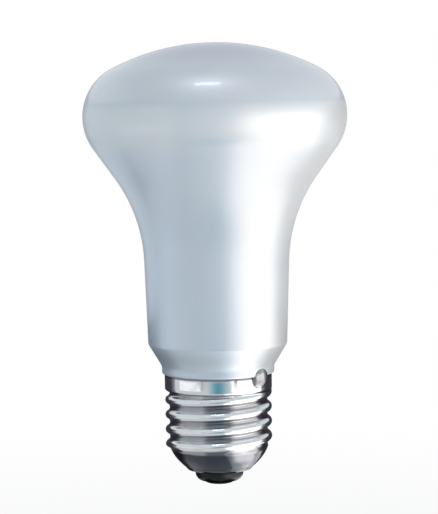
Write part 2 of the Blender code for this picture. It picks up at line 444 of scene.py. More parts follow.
@dataclass(frozen=True)
class NickelFinish:
    """Bright nickel plate on rolled brass sheet, darker in its roots, with painted shade
    on its rim, in the crease below the collar, at the front of its roots and over its
    skirt.

    Each span is where a mark or a painted shade begins and where it is full.
    """

    bright: Colour = tint(0.635, 0.65, 0.67)
    worn: Colour = tint(0.48, 0.49, 0.505)
    brass: Colour = tint(0.62, 0.52, 0.36)
    dark_roots_and_painted_shade: Colour = tint(0.14, 0.145, 0.17)
    painted_dark_shade: Colour = tint(0.040, 0.048, 0.062)
    root_span: Span = (0.01195, 0.01265)
    rim_span: Span = (0.0266, 0.0269)
    crease_height: float = 0.0233
    crease_width: float = 0.0004
    shaded_front_side_span: Span = (0.0024, 0.0042)
    shaded_front_depth_span: Span = (0.0, 0.004)
    skirt_span: Span = (0.0085, 0.0090)
    skirt_waver: float = 0.0003
    skirt_foot_span: Span = (0.0058, 0.0074)
    skirt_right_span: Span = (0.0010, 0.0050)

    def marked(
        self, recipe: Recipe, colour: Any, root: Value, smear: Value, dull: Value
    ) -> Any:
        """Darken the roots; paint shade on the rim, the crease, the roots' front and the
        skirt.

        Args:
            recipe: the plate's material.
            colour: the plate's colour before its marks.
            root: 1 in the thread's roots.
            smear: the pattern of its smears.
            dull: 1 where it is dulled.

        Returns:
            The colour's socket.
        """
        x, y, height = recipe.axes
        # Painted shade on the rim's top and in the crease below the collar; the thread's
        # roots are darker too.
        rim = height.held(*self.rim_span)
        crease = height.band(self.crease_height, self.crease_width)
        mark = root * 0.62 + rim * 0.75 + crease * 0.85
        colour = recipe.blend(mark.held(0.0, 1.0), colour, self.dark_roots_and_painted_shade)
        # Painted shade: a darker patch at the front of the thread's roots.
        middle = 1 - abs(x).held(*self.shaded_front_side_span)
        front = middle * (0 - y).held(*self.shaded_front_depth_span)
        colour = recipe.blend(front * root * 0.70, colour, self.painted_dark_shade)
        # Painted shade over the skirt, weaker on its right side above its foot.
        skirt = 1 - (height + smear * self.skirt_waver).held(*self.skirt_span)
        low = 1 - height.held(*self.skirt_foot_span)
        right = x.held(*self.skirt_right_span)
        skirt_shade_share = 0.96 - right * (0.50 - low * 0.40) - dull * 0.1
        return recipe.blend(skirt * skirt_shade_share, colour, self.painted_dark_shade)

    def material(self) -> bpy.types.Material:
        """Build the plate: roller lines, smears, pits, its marks and its painted shade.

        Returns:
            The material.
        """
        recipe = Recipe("bright_nickel_plate")
        x, y, _ = recipe.axes
        root = 1 - x.length_with(y).held(*self.root_span)
        rolled = recipe.stretched(1.0, 1.0, 90.0)
        lines = recipe.pattern(Texture.NOISE, 60.0, rolled, detail=2.0)
        smear = recipe.pattern(Texture.NOISE, 240.0, detail=4.0, roughness=0.6)
        pits = recipe.pattern(Texture.VORONOI, 1500.0)
        dull = (smear - 0.45).held(0.0, 0.25)
        colour = recipe.blend(dull * 0.45 + root * 0.2, self.bright, self.worn)
        colour = recipe.blend(root * dull * 0.25, colour, self.brass)
        colour = self.marked(recipe, colour, root, smear, dull)
        relief = recipe.bump(lines, 0.00002, 0.09)
        relief = recipe.bump(smear, 0.00005, 0.10, relief)
        relief = recipe.bump(pits, 0.00001, 0.05, relief)
        recipe.shade(
            Base_Color=colour,
            Roughness=0.09 + dull * 0.12 + lines * 0.04 + root * 0.05,
            Metallic=1.0,
            Normal=relief,
        )
        return recipe.material


@dataclass(frozen=True)
class BlackGlassFinish:
    """Opaque black glass, pressed hot into the cap."""

    glass: Colour = tint(0.010, 0.010, 0.013)
    bloom: Colour = tint(0.035, 0.036, 0.042)

    def material(self) -> bpy.types.Material:
        """Build the glass: a faint bloom and the ripples of its pressing.

        Returns:
            The material.
        """
        recipe = Recipe("pressed_black_glass")
        bloom = recipe.pattern(Texture.NOISE, 420.0, detail=3.0).held(0.45, 0.75)
        ripple = recipe.pattern(Texture.NOISE, 300.0, detail=1.0)
        recipe.shade(
            Base_Color=recipe.blend(bloom * 0.6, self.glass, self.bloom),
            Roughness=0.10 + bloom * 0.18,
            Normal=recipe.bump(ripple, 0.0001, 0.25),
            IOR=1.55,
        )
        return recipe.material


@dataclass(frozen=True)
class ContactFinish:
    """Plated sheet of the centre contact, coloured nearly black as painted shade."""

    plate: Colour = tint(0.022, 0.025, 0.026)
    rubbed: Colour = tint(0.09, 0.09, 0.085)
    rubbed_span: Span = (0.0012, 0.0020)
    ring_turns: float = 9000.0

    def material(self) -> bpy.types.Material:
        """Build the plate: rubbed towards its face, with fine rings.

        Returns:
            The material.
        """
        recipe = Recipe("dark_contact_plate")
        x, y, height = recipe.axes
        rings = (x.length_with(y) * self.ring_turns).sine() * 0.5 + 0.5
        speckle = recipe.pattern(Texture.NOISE, 900.0, detail=3.0)
        rubbed = (1 - height.held(*self.rubbed_span)) * speckle.held(0.35, 0.65)
        # Painted shade: the plate's colour is nearly black, as the shade under the cap.
        recipe.shade(
            Base_Color=recipe.blend(rubbed * 0.7, self.plate, self.rubbed),
            Roughness=0.28 + speckle * 0.15,
            Metallic=1.0,
            Normal=recipe.bump(rings, 0.00001, 0.15),
        )
        return recipe.material


@dataclass(frozen=True)
class SolderFinish:
    """Tin solder, bright where it set smooth and grey where it dulled."""

    name: str = "set_solder"
    bright: Colour = tint(0.34, 0.35, 0.37)
    dull: Colour = tint(0.20, 0.21, 0.23)

    def material(self) -> bpy.types.Material:
        """Build the solder: frost crystals and a soft surface ripple.

        Returns:
            The material.
        """
        recipe = Recipe(self.name)
        crystals = recipe.pattern(Texture.VORONOI, 1400.0)
        ripple = recipe.pattern(Texture.NOISE, 500.0, detail=3.0)
        dull = ripple.held(0.42, 0.62)
        relief = recipe.bump(ripple, 0.0002, 0.30)
        relief = recipe.bump(crystals, 0.00003, 0.20, relief)
        recipe.shade(
            Base_Color=recipe.blend(dull, self.bright, self.dull),
            Roughness=0.18 + dull * 0.22,
            Metallic=1.0,
            Normal=relief,
        )
        return recipe.material


@dataclass(frozen=True)
class CementFinish:
    """Baked cement, matt and grainy."""

    pale: Colour = tint(0.62, 0.57, 0.48)
    baked: Colour = tint(0.42, 0.35, 0.26)

    def material(self) -> bpy.types.Material:
        """Build the cement: grains and brown baked patches.

        Returns:
            The material.
        """
        recipe = Recipe("baked_cement")
        grain = recipe.pattern(Texture.NOISE, 2200.0, detail=4.0)
        patch = recipe.pattern(Texture.NOISE, 260.0, detail=2.0).held(0.4, 0.65)
        recipe.shade(
            Base_Color=recipe.blend(patch, self.pale, self.baked),
            Roughness=0.85 + grain * 0.1,
            Normal=recipe.bump(grain, 0.0001, 0.6),
        )
        return recipe.material


class Outline:
    """Points of a turned piece's outline, each a radius and a height."""

    def __init__(self) -> None:
        """Start with no points."""
        self.points: list[Vector] = []

    def add(self, radius: float, height: float) -> None:
        """Add one point."""
        self.points.append(Vector((radius, height)))

    def arc(
        self, centre: Vector, radius: float, start: float, end: float, steps: int
    ) -> None:
        """Add an arc, both ends included.

        Args:
            centre: the arc's centre.
            radius: its radius.
            start: the angle of its first point from the radius axis.
            end: the angle of its last point.
            steps: how many straight runs it has.
        """
        for step in range(steps + 1):
            angle = start + (end - start) * step / steps
            across = centre.x + radius * math.cos(angle)
            self.add(across, centre.y + radius * math.sin(angle))

    def line(self, end: Vector, steps: int) -> None:
        """Add a straight run of points from the last one.

        Args:
            end: the run's last point.
            steps: how many points it has.
        """
        start = self.points[-1].copy()
        for step in range(1, steps + 1):
            self.add(*start.lerp(end, step / steps))

    def corner(
        self, before: Vector, corner: Vector, after: Vector, radius: float, steps: int
    ) -> None:
        """Add a rounded corner that touches both of its lines.

        Args:
            before: a point on the line that comes in.
            corner: where both lines meet.
            after: a point on the line that goes out.
            radius: the corner's radius.
            steps: how many straight runs it has.
        """
        to_before = (before - corner).normalized()
        to_after = (after - corner).normalized()
        half_angle = math.acos(to_before.dot(to_after)) / 2
        bisector = (to_before + to_after).normalized()
        centre = corner + bisector * (radius / math.sin(half_angle))
        reach = radius / math.tan(half_angle)
        first = (corner + to_before * reach - centre).normalized()
        last = (corner + to_after * reach - centre).normalized()
        for step in range(steps + 1):
            self.add(*(centre + first.slerp(last, step / steps) * radius))

    def follow(self, other: Outline, lead: int) -> None:
        """Run straight to another outline's first point, then add the rest of it."""
        self.line(other.points[0], lead)
        self.points.extend(other.points[1:])


def crossing(
    point: Vector, along: Vector, other: Vector, other_along: Vector
) -> Vector:
    """Find where two straight lines of an outline meet.

    Args:
        point: a point of the first line.
        along: the first line's direction.
        other: a point of the second line.
        other_along: the second line's direction.

    Returns:
        The point on both.
    """
    spread = along.x * other_along.y - along.y * other_along.x
    apart = other - point
    share = (apart.x * other_along.y - apart.y * other_along.x) / spread
    return point + along * share


@dataclass(frozen=True)
class Lathe:
    """Makes round pieces from rings, as a maker draws them out on a lathe."""

    sides: int
    weld: float = 0.000001

    def start(self, name: str, radius: float, height: float) -> Piece:
        """Lay the first ring, and stay in edit mode with it selected.

        Args:
            name: the piece's name.
            radius: the ring's radius.
            height: its height.

        Returns:
            The piece.
        """
        bpy.ops.object.select_all(action="DESELECT")
        bpy.ops.mesh.primitive_circle_add(
            vertices=self.sides,
            radius=radius,
            fill_type="NOTHING",
            location=(0.0, 0.0, 0.0),
        )
        obj = bpy.context.object
        obj.name = obj.data.name = name
        bpy.ops.object.mode_set(mode="EDIT")
        bpy.ops.mesh.select_all(action="SELECT")
        bpy.ops.transform.translate(value=(0.0, 0.0, height))
        return obj

    def turn(
        self, name: str, outline: Outline, sharp: float, is_ring: bool = False
    ) -> Piece:
        """Draw a ring out along an outline.

        Args:
            name: the piece's name.
            outline: its points, from the top down the outer side.
            sharp: corners over this angle, in degrees, aren't shaded smooth.
            is_ring: whether the last point joins the first, clear of the axis.

        Returns:
            The closed piece, its normals outward.
        """
        points = list(outline.points)
        top = points.pop(0) if points[0].x == 0.0 else None
        foot = points.pop() if points[-1].x == 0.0 else None
        obj = self.start(name, points[0].x, points[0].y)
        if top is not None:
            self._cap(top.y)
        if is_ring:
            points.append(points[0])
        for before, after in zip(points, points[1:]):
            self._draw_ring(before, after)
        if foot is not None:
            self._cap(foot.y)
        bpy.ops.mesh.select_all(action="SELECT")
        bpy.ops.mesh.remove_doubles(threshold=self.weld)
        bpy.ops.mesh.normals_make_consistent(inside=False)
        bpy.ops.object.mode_set(mode="OBJECT")
        smooth(obj, sharp)
        return obj

    def _draw_ring(self, before: Vector, after: Vector) -> None:
        """Extrude the selected ring from one outline point to the next.

        Args:
            before: the ring's own radius and height.
            after: those of the new ring.
        """
        drop = (0.0, 0.0, after.y - before.y)
        bpy.ops.mesh.extrude_edges_move(TRANSFORM_OT_translate={"value": drop})
        share = after.x / before.x
        bpy.ops.transform.resize(
            value=(share, share, 1.0), center_override=(0.0, 0.0, after.y)
        )

    def _cap(self, height: float) -> None:
        """Close the selected ring with a fan to the axis, and keep it selected.

        Args:
            height: the height of the fan's middle.
        """
        mesh = bmesh.from_edit_mesh(bpy.context.object.data)
        ring = [edge for edge in mesh.edges if edge.select]
        centre = mesh.verts.new((0.0, 0.0, height))
        for edge in ring:
            mesh.faces.new((edge.verts[0], edge.verts[1], centre))
        for face in mesh.faces:
            face.select = False
        for edge in ring:
            edge.select = True
        mesh.select_flush_mode()
        for edge in ring:
            edge.select = True
        bmesh.update_edit_mesh(bpy.context.object.data)


def pick(obj: Piece) -> None:
    """Select one piece alone and make it active.

    Args:
        obj: the piece.
    """
    bpy.ops.object.select_all(action="DESELECT")
    obj.select_set(True)
    bpy.context.view_layer.objects.active = obj


def smooth(obj: Piece, sharp: float) -> None:
    """Shade a piece smooth, with corners over an angle in degrees kept sharp."""
    pick(obj)
    bpy.ops.object.shade_smooth_by_angle(angle=math.radians(sharp))


def seat(obj: Piece, node: str, finish: bpy.types.Material) -> None:
    """Give a finished piece its material and body, and hide its node's own part.

    Args:
        obj: the piece, its place in its mesh.
        node: the node that it stands for.
        finish: its material.
    """
    obj.data.materials.clear()
    obj.data.materials.append(finish)
    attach(obj, BODY)
    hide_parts(node)
    LOG.info("%s: %d faces", obj.name, len(obj.data.polygons))


@dataclass(frozen=True)
class Cap:
    """Sizes that the cap's pieces share."""

    height: float = 0.0273
    collar_radius: float = 0.01313
    collar_height: float = 0.0036
    sheet: float = 0.0003
    skirt_top_radius: float = 0.01185
    skirt_top_height: float = 0.0086
    skirt_edge_radius: float = 0.0088
    skirt_edge_height: float = 0.0046
    skirt_bulge: float = 0.00035

    @property
    def collar_edge(self) -> float:
        """The height of the collar's lower edge."""
        return self.height - self.collar_height

    @property
    def skirt_height(self) -> float:
        """How tall the skirt is."""
        return self.skirt_top_height - self.skirt_edge_height


@dataclass
class GlassEnvelope:
    """The blown glass, from its dome to the end that is sealed inside the cap."""

    overall_length: float = 0.1079
    head_radius: float = 0.03213
    widest_height: float = 0.0901
    edge_radius: float = 0.0132
    flare_angle: float = math.radians(35.4)
    waist_radius: float = 0.0373
    neck_taper: float = math.radians(1.97)
    shoulder: Vector = field(default_factory=lambda: Vector((0.0170, 0.0346)))
    shoulder_rounding: float = 0.0014
    base_angle: float = math.radians(31)
    base_arc_radius: float = 0.0025
    foot_radius: float = 0.01375
    foot_rounding: float = 0.0005
    neck_inside_radius: float = 0.0107
    sealed_height: float = 0.0125
    sealed_chamfer: float = 0.002
    pole_gap: float = math.radians(0.5)
    sides: int = 160

    def trace_head(self, made: Outline) -> None:
        """Trace the dome and the round edge, down to where the flare begins.

        Args:
            made: the outline that they are added to.
        """
        edge_centre = Vector((self.head_radius - self.edge_radius, self.widest_height))
        rise = self.overall_length - self.widest_height
        dome_radius = (edge_centre.x**2 + rise**2 - self.edge_radius**2) / (
            2 * (rise - self.edge_radius)
        )
        dome_centre = Vector((0.0, self.overall_length - dome_radius))
        to_edge = edge_centre - dome_centre
        dome_end = math.atan2(to_edge.y, to_edge.x)
        dome_start = math.pi / 2 - self.pole_gap
        made.add(0.0, self.overall_length)
        made.arc(dome_centre, dome_radius, dome_start, dome_end, steps=24)
        made.points.pop()
        made.arc(edge_centre, self.edge_radius, dome_end, -self.flare_angle, steps=40)

    def outline(self, cap: Cap) -> Outline:
        """Trace the glass from the top of the dome to the sealed end on the axis.

        Args:
            cap: the cap's sizes.

        Returns:
            The outline.
        """
        made = Outline()
        self.trace_head(made)
        flare_along = Vector((-math.sin(self.flare_angle), -math.cos(self.flare_angle)))
        neck_along = Vector((math.sin(self.neck_taper), math.cos(self.neck_taper)))
        base_along = Vector((-math.sin(self.base_angle), -math.cos(self.base_angle)))
        foot = Vector((self.foot_radius, cap.height))
        under = Vector((self.neck_inside_radius, cap.height))
        waist = crossing(made.points[-1], flare_along, self.shoulder, neck_along)
        base = crossing(self.shoulder, base_along, foot, Vector((0.0, 1.0)))
        bend = Outline()
        bend.corner(made.points[-1], waist, self.shoulder, self.waist_radius, steps=26)
        made.follow(bend, lead=8)
        bend = Outline()
        bend.corner(waist, self.shoulder, base, self.shoulder_rounding, steps=8)
        made.follow(bend, lead=14)
        made.corner(self.shoulder, base, foot, self.base_arc_radius, steps=12)
        made.corner(base, foot, under, self.foot_rounding, steps=6)
        made.add(self.neck_inside_radius, cap.height)
        made.add(self.neck_inside_radius, self.sealed_height + self.sealed_chamfer)
        made.add(self.neck_inside_radius - self.sealed_chamfer, self.sealed_height)
        made.add(0.0, self.sealed_height)
        return made

    def build(self, cap: Cap) -> Piece:
        """Turn the glass."""
        return Lathe(self.sides).turn("glass_bulb", self.outline(cap), sharp=50.0)

    def dress(self, obj: Piece) -> None:
        """Give the glass its finish and its place."""
        seat(obj, "glass_envelope", EnvelopeFinish().material())


def soft_share(value: float) -> float:
    """0 below 0, 1 above 1, and an even curve between."""
    held = min(max(value, 0.0), 1.0)
    return held * held * (3 - 2 * held)


def face_outward(obj: Piece) -> None:
    """Turn an open round sheet's faces away from the axis, if they face it.

    Args:
        obj: the sheet.
    """
    face = obj.data.polygons[len(obj.data.polygons) // 2]
    if face.normal.xy.dot(face.center.xy) < 0:
        obj.data.flip_normals()


@dataclass
class ScrewShell:
    """The rolled sheet: collar, right-hand round thread and drawn-in skirt."""

    pitch: float = 0.003629
    thread_radius: float = 0.01308
    thread_arc: float = 0.001025
    thread_depth: float = 0.001096
    thread_start: float = 0.0081
    runout: float = 0.0012
    rim_roll: float = 0.00012
    rim_height: float = 0.0004
    rim_step: float = 0.0001
    rim_rows: int = 5
    collar_step: float = 0.0008
    collar_rows: int = 3
    sides: int = 180
    rows_per_turn: int = 20
    skirt_rows: int = 12

    def knuckle(self, height: float) -> float:
        """Work out how far the thread lies below its crest.

        Args:
            height: the height above a crest.

        Returns:
            The depth there.
        """
        half = self.pitch / 2
        from_crest = abs((height + half) % self.pitch - half)
        from_valley = half - from_crest
        if from_crest < from_valley:
            return self.thread_arc - math.sqrt(self.thread_arc**2 - from_crest**2)
        rise = math.sqrt(self.thread_arc**2 - from_valley**2)
        return self.thread_depth - self.thread_arc + rise

    def radius(self, cap: Cap, height: float, azimuth: float) -> float:
        """Work out the sheet's outer radius.

        Args:
            cap: the cap's sizes.
            height: a height on the sheet.
            azimuth: the angle round the axis.

        Returns:
            The radius there.
        """
        if height > cap.collar_edge:
            top = max(0.0, (height - cap.height) / self.rim_height + 1.0)
            return cap.collar_radius - self.rim_roll * top * top
        if height < cap.skirt_top_height:
            share = (height - cap.skirt_edge_height) / cap.skirt_height
            bulge = cap.skirt_bulge * math.sin(math.pi * share)
            spread = cap.skirt_top_radius - cap.skirt_edge_radius
            return cap.skirt_edge_radius + spread * share + bulge
        turned = self.pitch * azimuth / (2 * math.pi)
        depth = self.knuckle(height - self.thread_start - turned)
        upper = soft_share((cap.collar_edge - height) / self.runout)
        lower = soft_share((height - cap.skirt_top_height) / self.runout)
        crest = cap.collar_radius + (self.thread_radius - cap.collar_radius) * upper
        rolled = crest - depth * upper
        return cap.skirt_top_radius + (rolled - cap.skirt_top_radius) * lower

    def rows(self, cap: Cap) -> list[float]:
        """Space out the sheet's rows.

        Args:
            cap: the cap's sizes.

        Returns:
            Their heights, from the rim to the skirt's edge.
        """
        rim = [cap.height - self.rim_step * row for row in range(self.rim_rows)]
        below = cap.height - self.rim_height
        steps = range(1, self.collar_rows + 1)
        collar = [below - self.collar_step * step for step in steps]
        tall = cap.collar_edge - cap.skirt_top_height
        count = round(tall / self.pitch * self.rows_per_turn)
        thread = [cap.collar_edge - tall * row / count for row in range(count + 1)]
        skirt = [
            cap.skirt_top_height - cap.skirt_height * row / self.skirt_rows
            for row in range(1, self.skirt_rows + 1)
        ]
        return rim + collar + thread + skirt

    def build(self, cap: Cap) -> Piece:
        """Draw out the sheet, roll the thread into it and give it its thickness.

        Args:
            cap: the cap's sizes.

        Returns:
            The shell.
        """
        rows = self.rows(cap)
        obj = Lathe(self.sides).start("cap_shell", cap.collar_radius, rows[0])
        for before, after in zip(rows, rows[1:]):
            drop = (0.0, 0.0, after - before)
            bpy.ops.mesh.extrude_edges_move(TRANSFORM_OT_translate={"value": drop})
        bpy.ops.mesh.select_all(action="SELECT")
        bpy.ops.mesh.normals_make_consistent(inside=False)
        bpy.ops.object.mode_set(mode="OBJECT")
        for vertex in obj.data.vertices:
            azimuth = math.atan2(vertex.co.y, vertex.co.x) % (2 * math.pi)
            radius = self.radius(cap, vertex.co.z, azimuth)
            vertex.co.x = radius * math.cos(azimuth)
            vertex.co.y = radius * math.sin(azimuth)
        face_outward(obj)
        wall = obj.modifiers.new("Wall", "SOLIDIFY")
        wall.thickness = cap.sheet
        wall.offset = -1.0
        pick(obj)
        bpy.ops.object.modifier_apply(modifier=wall.name)
        smooth(obj, 45.0)
        return obj

    def dress(self, obj: Piece) -> None:
        """Give the shell its finish and its place."""
        seat(obj, "screw_shell", NickelFinish().material())


@dataclass
class CapEnd:
    """The black glass button, the centre contact and its solder drop."""

    boss_radius: float = 0.0064
    boss_height: float = 0.0031
    boss_rounding: float = 0.0005
    boss_swell: Vector = field(default_factory=lambda: Vector((0.0006, 0.0003)))
    hole_radius: float = 0.0018
    glass_top: float = 0.0090
    glass_inset: float = 0.0009
    glass_seat: float = 0.0002
    lip_inset: float = 0.0002
    lip_drop: float = 0.0001
    lip_rounding: float = 0.00015
    lip_slope: float = 0.0010
    contact_radius: float = 0.0059
    contact_top: float = 0.0030
    contact_face: float = 0.0007
    contact_rounding: float = 0.0020
    eyelet_bore: float = 0.0010
    eyelet_gap: float = 0.0003
    eyelet_top: float = 0.0098
    drop_radius: float = 0.0036
    flat_radius: float = 0.0018
    stem_radius: float = 0.0007
    stem_top: float = 0.0055
    drop_steps: int = 12
    sides: int = 96

    def build_insulator(self, cap: Cap) -> Piece:
        """Turn the glass button: it swells out of the skirt's edge to its boss.

        Args:
            cap: the cap's sizes.

        Returns:
            The button.
        """
        edge, foot = cap.skirt_edge_radius, cap.skirt_edge_height
        lip = Vector((edge - self.lip_inset, foot - self.lip_drop))
        under = Vector((edge - self.lip_slope, foot - self.lip_slope))
        boss = Vector((self.boss_radius, self.boss_height))
        middle = Vector((0.0, self.boss_height))
        made = Outline()
        made.add(self.hole_radius, self.glass_top)
        made.add(cap.skirt_top_radius - self.glass_inset, self.glass_top)
        made.add(edge - cap.sheet, foot + self.glass_seat)
        made.corner(made.points[-1], lip, under, self.lip_rounding, steps=3)
        made.line(under, steps=2)
        made.line(boss + self.boss_swell, steps=4)
        made.corner(made.points[-1], boss, middle, self.boss_rounding, steps=5)
        made.add(self.hole_radius, self.boss_height)
        return Lathe(self.sides).turn("cap_glass_button", made, sharp=40.0, is_ring=True)

    def build_contact(self) -> Piece:
        """Turn the contact: a shallow cup with its eyelet up through the glass.

        Returns:
            The contact.
        """
        top = Vector((self.contact_radius, self.contact_top))
        corner = Vector((self.contact_radius, self.contact_face))
        middle = Vector((0.0, self.contact_face))
        eyelet_radius = self.hole_radius - self.eyelet_gap
        made = Outline()
        made.add(self.eyelet_bore, self.eyelet_top)
        made.add(eyelet_radius, self.eyelet_top)
        made.add(eyelet_radius, self.contact_top)
        made.add(*top)
        made.corner(top, corner, middle, self.contact_rounding, steps=12)
        made.add(self.eyelet_bore, self.contact_face)
        return Lathe(self.sides).turn("contact_cup", made, sharp=40.0, is_ring=True)

    def build_drop(self) -> Piece:
        """Turn the solder drop, its flat tip at the origin.

        Returns:
            The drop.
        """
        made = Outline()
        made.add(0.0, self.stem_top)
        made.add(self.stem_radius, self.stem_top)
        made.add(self.stem_radius, self.contact_face)
        run = self.drop_radius - self.flat_radius
        for step in range(self.drop_steps + 1):
            angle = math.pi / 2 * step / self.drop_steps
            height = self.contact_face * (1 - math.sin(angle))
            made.add(self.flat_radius + run * math.cos(angle), height)
        made.add(0.0, 0.0)
        return Lathe(self.sides).turn("contact_drop", made, sharp=50.0)

    def dress(self, button: Piece, cup: Piece, drop: Piece) -> None:
        """Give the three pieces their finishes and places.

        Args:
            button: the black glass.
            cup: the centre contact.
            drop: its solder, coloured dark as painted shade.
        """
        # Painted shade: the drop's solder is coloured far darker than the rim's.
        shade_dark_drop_finish = SolderFinish(
            "shade_dark_solder", tint(0.10, 0.11, 0.11), tint(0.035, 0.04, 0.04)
        )
        seat(button, "cap_insulator", BlackGlassFinish().material())
        seat(cup, "centre_contact", ContactFinish().material())
        seat(drop, "contact_solder", shade_dark_drop_finish.material())


@dataclass
class SideBead:
    """The solder bead on the collar's rim, over the end of the side wire."""

    azimuth: float = math.radians(-40)
    width: float = 0.0054
    length: float = 0.0050
    depth: float = 0.0022
    centre_radius: float = 0.01335
    below_rim: float = 0.0002
    lean: float = math.radians(22)
    swell: float = 0.05
    swell_start: float = 0.7
    swell_waves: Span = (3.1, 2.3)
    tail: float = 0.10
    tail_waves: float = 2.0

    def lump(self, direction: Vector) -> float:
        """Work out how far the drop swells or sinks.

        Args:
            direction: the way out from its middle.

        Returns:
            The share of its size there.
        """
        across, down = self.swell_waves
        swell = self.swell * math.sin(across * direction.y + self.swell_start)
        tail = self.tail * max(0.0, -direction.z)
        tail *= math.cos(self.tail_waves * direction.y)
        return 1.0 + swell * math.cos(down * direction.z) + tail

    def build(self, cap: Cap) -> Piece:
        """Shape a ball into a drop that sags down the collar.

        Args:
            cap: the cap's sizes.

        Returns:
            The bead.
        """
        bpy.ops.object.select_all(action="DESELECT")
        bpy.ops.mesh.primitive_uv_sphere_add(segments=40, ring_count=28, radius=0.5)
        obj = bpy.context.object
        obj.name = obj.data.name = "rim_solder_bead"
        place = Matrix.Rotation(self.azimuth, 4, "Z") @ Matrix.Translation(
            (self.centre_radius, 0.0, cap.height - self.below_rim)
        )
        leaning = Matrix.Rotation(-self.lean, 3, "X")
        ball = Vector((self.depth, self.width, self.length))
        for vertex in obj.data.vertices:
            size = ball * self.lump(vertex.co.normalized())
            sized = leaning @ Vector(a * b for a, b in zip(vertex.co, size))
            bowed = sized.y**2 / (2 * cap.collar_radius)
            vertex.co = place @ Vector((sized.x - bowed, sized.y, sized.z))
        smooth(obj, 60.0)
        return obj

    def dress(self, obj: Piece) -> None:
        """Give the bead its finish and its place."""
        seat(obj, "side_solder", SolderFinish().material())


def dress_cement() -> None:
    """Give the cement its finish. It is inside the cap and keeps its solid."""
    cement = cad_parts["cap_cement"]
    cement.data.materials.clear()
    cement.data.materials.append(CementFinish().material())
    LOG.info("%s: dressed", cement.name)


def outward(azimuth: float) -> Vector:
    """The level way out at an azimuth: 0 is the camera's side and 90 its right."""
    side = math.radians(azimuth)
    return Vector((math.sin(side), -math.cos(side), 0.0))


@dataclass(frozen=True, kw_only=True)
class Lamp:
    """A rectangular studio lamp and what it lights."""

    name: str
    width: float
    brightness: float
    colour: LampColour = (1.0, 1.0, 1.0)
    seen: Seen = Seen.BY_ALL

    def add(self, depth: float) -> Piece:
        """Add the lamp to the scene.

        Args:
            depth: its other side.

        Returns:
            The lamp, at the origin and shining down.
        """
        lamp = bpy.data.lights.new(self.name, "AREA")
        lamp.shape = "RECTANGLE"
        lamp.size = self.width
        lamp.size_y = depth
        lamp.energy = self.brightness * math.pi * lamp.size * lamp.size_y
        lamp.color = self.colour
        obj = bpy.data.objects.new(self.name, lamp)
        bpy.context.scene.collection.objects.link(obj)
        obj.visible_glossy = self.seen is not Seen.BY_MATT
        obj.visible_diffuse = self.seen is not Seen.BY_SHINY
        LOG.info("%s: lamp", self.name)
        return obj


@dataclass(frozen=True, kw_only=True)
class SoftBox(Lamp):
    """A lamp that stands upright and faces the bulb's axis."""

    azimuth: float
    distance: float
    low: float
    high: float

    def build(self) -> None:
        """Stand the lamp."""
        away = outward(self.azimuth)
        obj = self.add(self.high - self.low)
        middle = Vector((0.0, 0.0, (self.low + self.high) / 2))
        obj.location = away * self.distance + middle
        obj.rotation_euler = away.to_track_quat("Z", "Y").to_euler()


@dataclass(frozen=True, kw_only=True)
class LevelPanel(Lamp):
    """A level lamp, shining up, or down once it is turned over."""

    x: float
    y: float
    height: float
    depth: float
    turn: float = 0.0

    def build(self) -> None:
        """Place the lamp level."""
        obj = self.add(self.depth)
        obj.location = (self.x, self.y, self.height)
        obj.rotation_euler = (math.pi + math.radians(self.turn), 0.0, 0.0)


def lay_plane(name: str, shape: Matrix) -> Piece:
    """Add a flat stage piece.

    Args:
        name: its name.
        shape: what takes a level square metre at the origin to its size and place.

    Returns:
        The piece.
    """
    bpy.ops.object.select_all(action="DESELECT")
    bpy.ops.mesh.primitive_plane_add(size=1.0, location=(0.0, 0.0, 0.0))
    obj = bpy.context.object
    obj.name = obj.data.name = name
    obj.data.transform(shape)
    return obj


def hide_card(obj: Piece, recipe: Recipe, colour: Any) -> None:
    """Paper a card that glows evenly in its own colour, and show it to shiny surfaces
    alone.

    Args:
        obj: the card.
        recipe: its material.
        colour: the paper's colour or its socket.
    """
    recipe.shade(Base_Color=tint(0.0, 0.0, 0.0), Specular_IOR_Level=0.0)
    recipe.shade(Emission_Color=colour, Emission_Strength=1.0)
    obj.data.materials.append(recipe.material)
    obj.visible_camera = False
    obj.visible_diffuse = False
    obj.visible_shadow = False
    LOG.info("%s: card", obj.name)


@dataclass(frozen=True, kw_only=True)
class StandingCard:
    """A card that stands facing the bulb, its colour fading to its two edges."""

    name: str
    azimuth: float
    distance: float
    width: float
    low: float
    high: float
    colour: Colour
    edge: Colour
    fade: float = 1.0

    def build(self) -> None:
        """Stand the card on end."""
        away = outward(self.azimuth)
        turned = away.to_track_quat("Z", "Y").to_matrix().to_4x4()
        spread = Matrix.Diagonal((self.width, self.high - self.low, 1.0, 1.0))
        middle = Vector((0.0, 0.0, (self.low + self.high) / 2))
        centre = away * self.distance + middle
        obj = lay_plane(self.name, Matrix.Translation(centre) @ turned @ spread)
        recipe = Recipe(self.name + "_paper")
        x, y, _ = recipe.axes
        sideways = x * -away.y + y * away.x
        half = self.width / 2
        outer = abs(sideways).held(half * (1 - self.fade), half)
        hide_card(obj, recipe, recipe.blend(outer, self.colour, self.edge))


@dataclass(frozen=True, kw_only=True)
class LyingSheet:
    """A card of one colour that lies level: under the cap, or on the floor behind."""

    name: str
    x: float
    y: float
    height: float
    width: float
    depth: float
    colour: Colour

    def build(self) -> None:
        """Lay the sheet down."""
        spread = Matrix.Diagonal((self.width, self.depth, 1.0, 1.0))
        centre = Vector((self.x, self.y, self.height))
        obj = lay_plane(self.name, Matrix.Translation(centre) @ spread)
        hide_card(obj, Recipe(self.name + "_paper"), self.colour)


